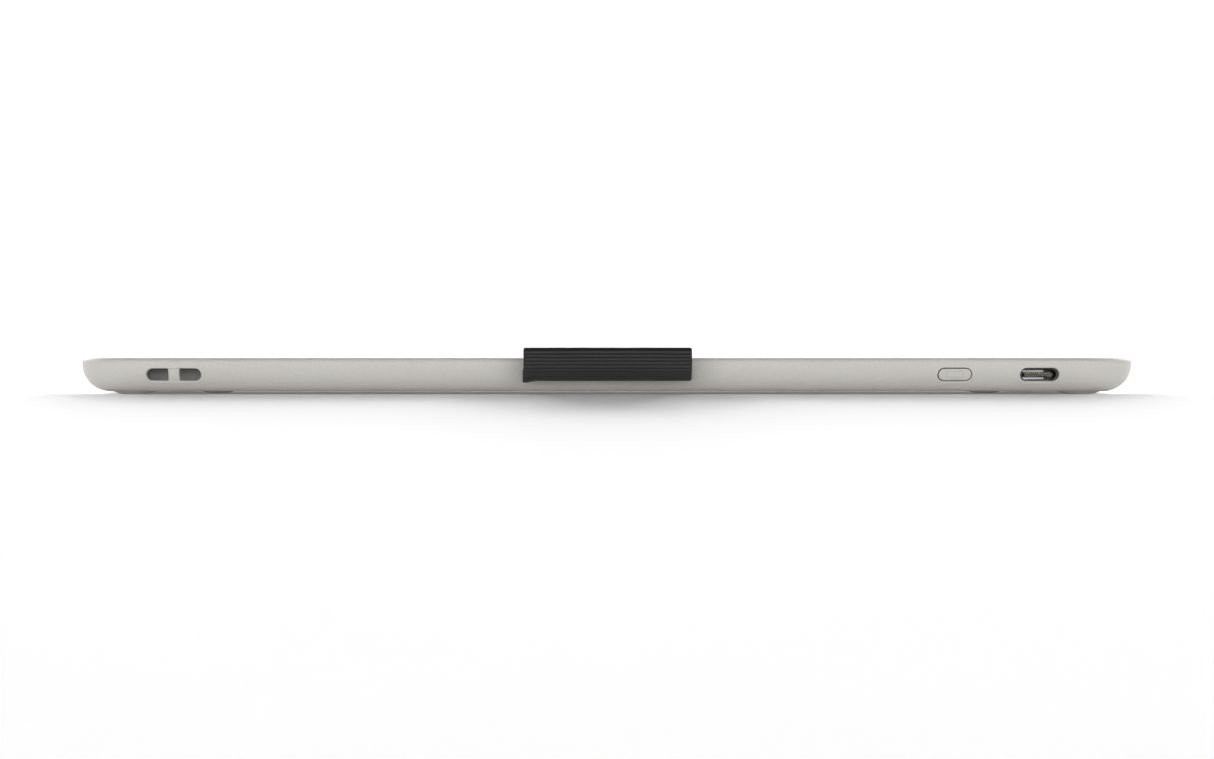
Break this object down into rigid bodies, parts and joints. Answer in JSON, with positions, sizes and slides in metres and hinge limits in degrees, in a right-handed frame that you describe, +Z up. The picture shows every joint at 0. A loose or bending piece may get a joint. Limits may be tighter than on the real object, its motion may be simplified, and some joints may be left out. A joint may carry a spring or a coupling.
{
  "type": "e-reader",
  "caption": "Thin tablet e-reader with a flush bezel, rounded tub case, domed feet, elastic pen loop, lanyard bar, power button and USB-C port.",
  "frame": {"origin": "centre of the footprint, pen loop included, on the surface that the feet stand on", "axes": "+X along the long edges, towards the USB-C end of the edge with the ports; +Y from that edge to the far edge; +Z up, out of the screen"},
  "size_m": [0.252, 0.1906, 0.0109],
  "materials": {
    "case_plastic": "fine spark-eroded texture, warm light grey",
    "bezel_plastic": "fine texture, matt",
    "foot_rubber": "matt, case colour",
    "lens_glass": "etched anti-glare",
    "page_film": "matt paper white",
    "display_glass": "thin-film glass",
    "clear_film": "clear film",
    "black_foam": "matt",
    "light_strip": "satin",
    "sensor_film": "satin film",
    "midframe_alloy": "satin, stamped",
    "steel_screws": "satin",
    "flex_film": "satin film",
    "circuit_board": "satin solder mask",
    "chip_epoxy": "matt moulded",
    "plain_steel": "bright rolled",
    "port_steel": "dark nickel plate",
    "liner_plastic": "satin, shaded case colour",
    "connector_plastic": "satin",
    "ceramic_parts": "satin",
    "gold_contacts": "plated",
    "dark_plastic": "satin",
    "elastic_webbing": "ribbed woven elastic",
    "battery_pouch": "foil laminate",
    "tape": "satin",
    "lead_jacket": "satin"
  },
  "bodies": {
    "case": {"antenna_lead_left": "lead_jacket", "antenna_lead_right": "lead_jacket", "antenna_left": "dark_plastic", "antenna_right": "dark_plastic", "battery_board": "circuit_board", "battery_lead": "lead_jacket", "battery_left": "battery_pouch", "battery_right": "battery_pouch", "battery_tape": "tape", "board_connectors": "connector_plastic", "board_passives": "ceramic_parts", "button_bracket": "plain_steel", "controller_board": "circuit_board", "controller_board_screws": "steel_screws", "controller_chip": "chip_epoxy", "controller_connectors": "connector_plastic", "cover_lens": "lens_glass", "digitizer_flex": "flex_film", "digitizer_sensor": "sensor_film", "display_flex": "flex_film", "foot_front_left": "foot_rubber", "foot_front_right": "foot_rubber", "foot_rear_left": "foot_rubber", "foot_rear_right": "foot_rubber", "front_bezel": "bezel_plastic", "front_light_flex": "flex_film", "front_light_guide": "clear_film", "front_light_strip": "light_strip", "ink_film": "page_film", "lanyard_liner": "liner_plastic", "lens_gasket": "black_foam", "link_cable": "lead_jacket", "main_board": "circuit_board", "main_board_screws": "steel_screws", "main_processor": "chip_epoxy", "main_shield_can": "plain_steel", "memory_chips": "chip_epoxy", "midframe": "midframe_alloy", "midframe_screws": "steel_screws", "panel_backplane": "display_glass", "panel_driver_chips": "chip_epoxy", "pen_loop": "elastic_webbing", "pen_loop_crimp": "plain_steel", "pen_loop_screws": "steel_screws", "power_chip": "chip_epoxy", "rear_shell": "case_plastic", "switch_body": "connector_plastic", "thermal_pad": "black_foam", "touch_film": "clear_film", "touch_flex": "flex_film", "usb_contacts": "gold_contacts", "usb_gasket": "black_foam", "usb_shell": "port_steel", "usb_shields": "plain_steel", "usb_tongue": "connector_plastic", "wireless_module": "chip_epoxy", "wireless_shield_can": "plain_steel"},
    "power_button": {"power_button": "case_plastic"},
    "switch_plunger": {"switch_plunger": "connector_plastic"}
  },
  "joints": [
    {"name": "power_button_press", "type": "slide", "parent": "case", "child": "power_button", "axis": [0, 1, 0], "range_m": [0, 0.00035], "stiffness_N_per_m": 4500},
    {"name": "switch_plunger_press", "type": "slide", "parent": "case", "child": "switch_plunger", "axis": [0, 1, 0], "range_m": [0, 0.00035]}
  ],
  "couplings": [
    {"joint": "switch_plunger_press", "follows": "power_button_press", "ratio": 1}
  ]
}
